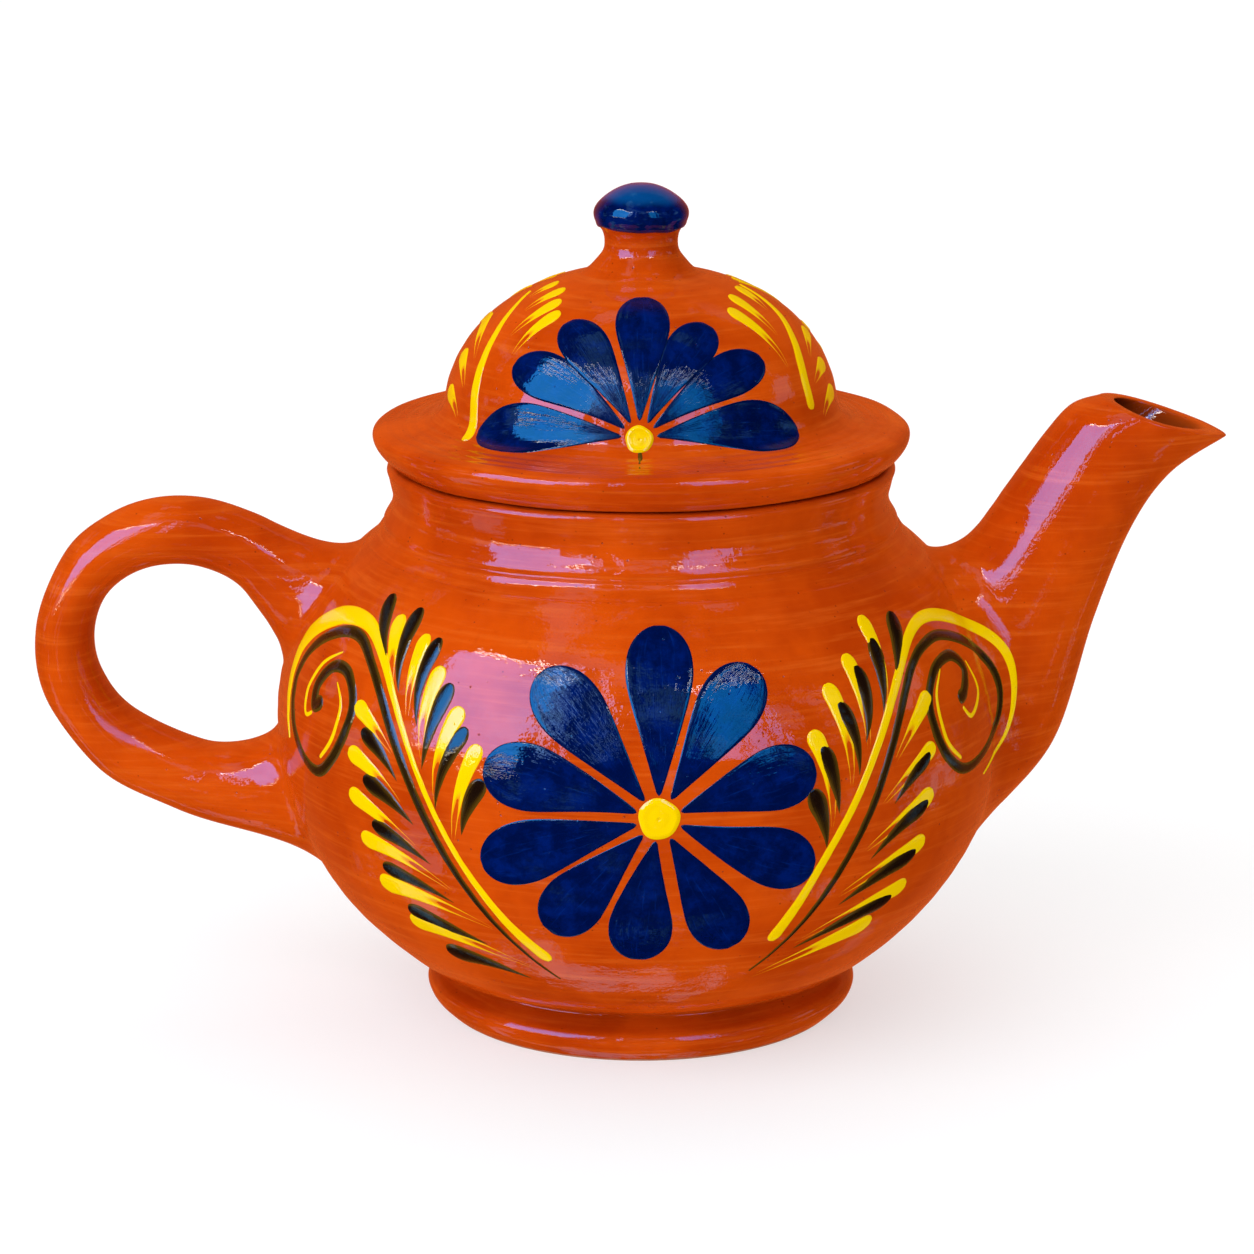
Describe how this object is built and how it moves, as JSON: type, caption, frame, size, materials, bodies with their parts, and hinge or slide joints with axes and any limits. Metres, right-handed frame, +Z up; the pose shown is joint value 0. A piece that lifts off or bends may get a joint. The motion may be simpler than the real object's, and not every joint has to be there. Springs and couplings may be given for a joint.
{
  "type": "lidded teapot",
  "caption": "Round-bellied glazed earthenware teapot with curved spout, loop handle, foot ring and a lift-off domed lid with knob, hand-painted with flowers and sprays.",
  "frame": {"origin": "centre of the foot ring on the table plane, on the belly's axis", "axes": "+Z up along the belly's axis, +X towards the spout, handle on -X"},
  "size_m": [0.2574, 0.158, 0.181],
  "materials": {
    "glazed_terracotta": "clear gloss glaze over orange-red clay",
    "cobalt_glaze": "gloss cobalt glaze",
    "yellow_slip": "gloss yellow slip under clear glaze",
    "brown_slip": "gloss brown-black slip under clear glaze"
  },
  "bodies": {
    "pot": {"pot_body": "glazed_terracotta", "neck_collar": "glazed_terracotta", "foot_ring": "glazed_terracotta", "spout": "glazed_terracotta", "handle": "glazed_terracotta"},
    "lid": {"lid_dome": "glazed_terracotta", "lid_locating_ring": "glazed_terracotta", "lid_knob": "cobalt_glaze"}
  },
  "joints": [
    {"name": "lid_lift", "type": "slide", "parent": "pot", "child": "lid", "axis": [0, 0, 1], "range_m": [0, 0.12]}
  ]
}
